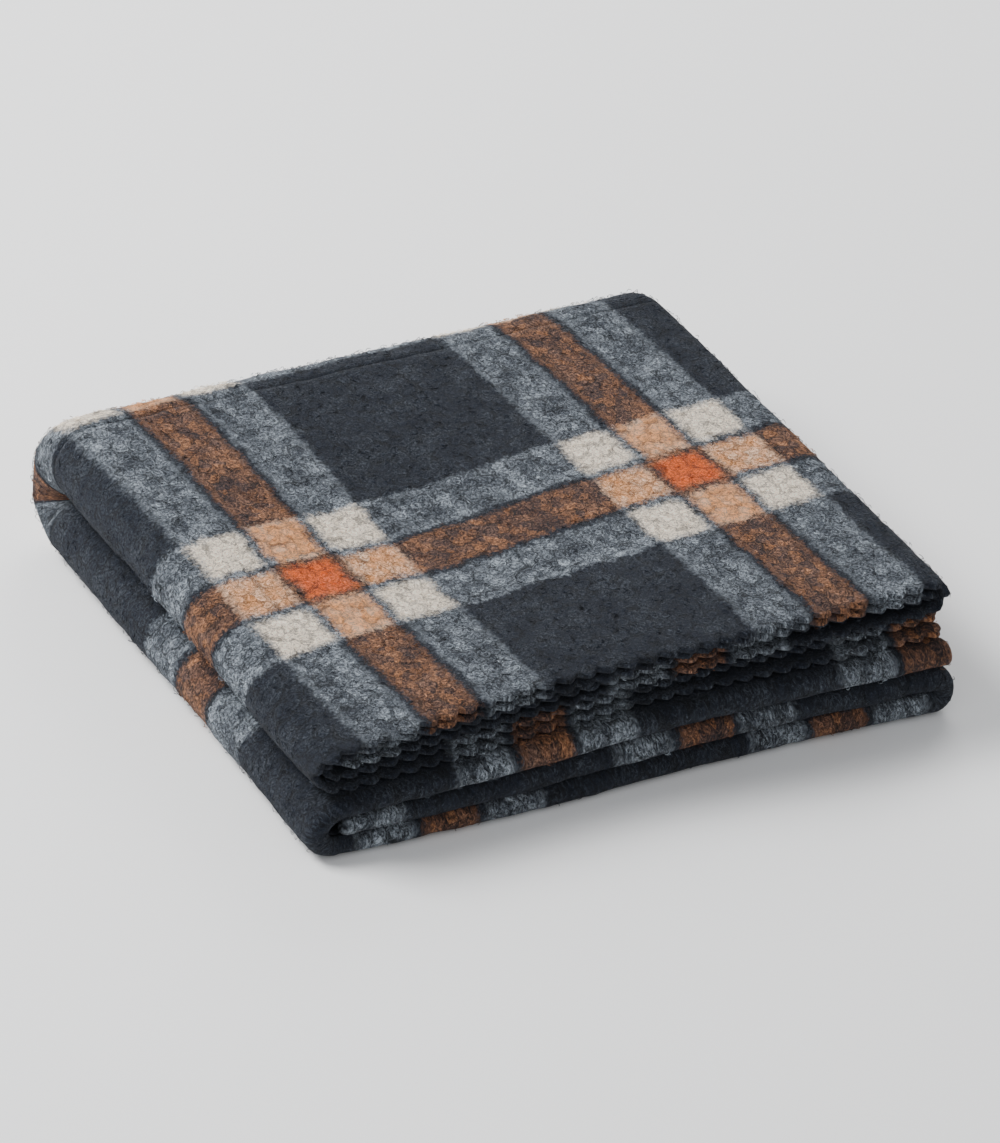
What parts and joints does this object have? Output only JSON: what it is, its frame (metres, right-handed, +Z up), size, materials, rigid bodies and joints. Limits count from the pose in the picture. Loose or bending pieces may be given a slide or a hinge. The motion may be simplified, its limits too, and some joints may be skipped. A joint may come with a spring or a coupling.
{
  "type": "camp blanket",
  "caption": "Thick wool camp blanket in a window-pane plaid, folded in half, in thirds and in half again, with a scalloped cut edge.",
  "frame": {"origin": "centre of the folded pack's footprint, on the surface that it lies on", "axes": "+X along the front, from the rolled left side to the right, +Y from the scalloped front to the last fold at the back, +Z up"},
  "size_m": [0.4686, 0.4238, 0.0997],
  "materials": {
    "wool": "milled curly wool, yarn-dyed in navy, cream and orange"
  },
  "bodies": {
    "lower_half": {"back_corner_left_inner": "wool", "back_corner_left_outer": "wool", "back_corner_right_inner": "wool", "back_corner_right_outer": "wool", "back_fold_left_inner": "wool", "back_fold_left_outer": "wool", "back_fold_middle_inner": "wool", "back_fold_middle_outer": "wool", "back_fold_right_inner": "wool", "back_fold_right_outer": "wool", "front_corner_left": "wool", "front_corner_right": "wool", "front_fold_left": "wool", "front_fold_middle": "wool", "front_fold_right": "wool", "lower_left_fold_inner": "wool", "lower_left_fold_outer": "wool", "lower_left_inner": "wool", "lower_left_outer": "wool", "lower_middle_inner": "wool", "lower_middle_outer": "wool", "lower_right_fold_inner": "wool", "lower_right_fold_outer": "wool", "lower_right_inner": "wool", "lower_right_outer": "wool"},
    "upper_half": {"upper_left_fold_inner": "wool", "upper_left_fold_outer": "wool", "upper_left_inner": "wool", "upper_left_outer": "wool", "upper_middle_inner": "wool", "upper_middle_outer": "wool", "upper_right_fold_inner": "wool", "upper_right_fold_outer": "wool", "upper_right_inner": "wool", "upper_right_outer": "wool"}
  },
  "joints": [
    {"name": "back_fold", "type": "hinge", "parent": "lower_half", "child": "upper_half", "pos_m": [0, 0.16207, 0.04987], "axis": [-1, 0, 0], "range_deg": [0, 179.9], "deforming": ["back_corner_left_inner", "back_corner_left_outer", "back_corner_right_inner", "back_corner_right_outer", "back_fold_left_inner", "back_fold_left_outer", "back_fold_middle_inner", "back_fold_middle_outer", "back_fold_right_inner", "back_fold_right_outer"]}
  ]
}
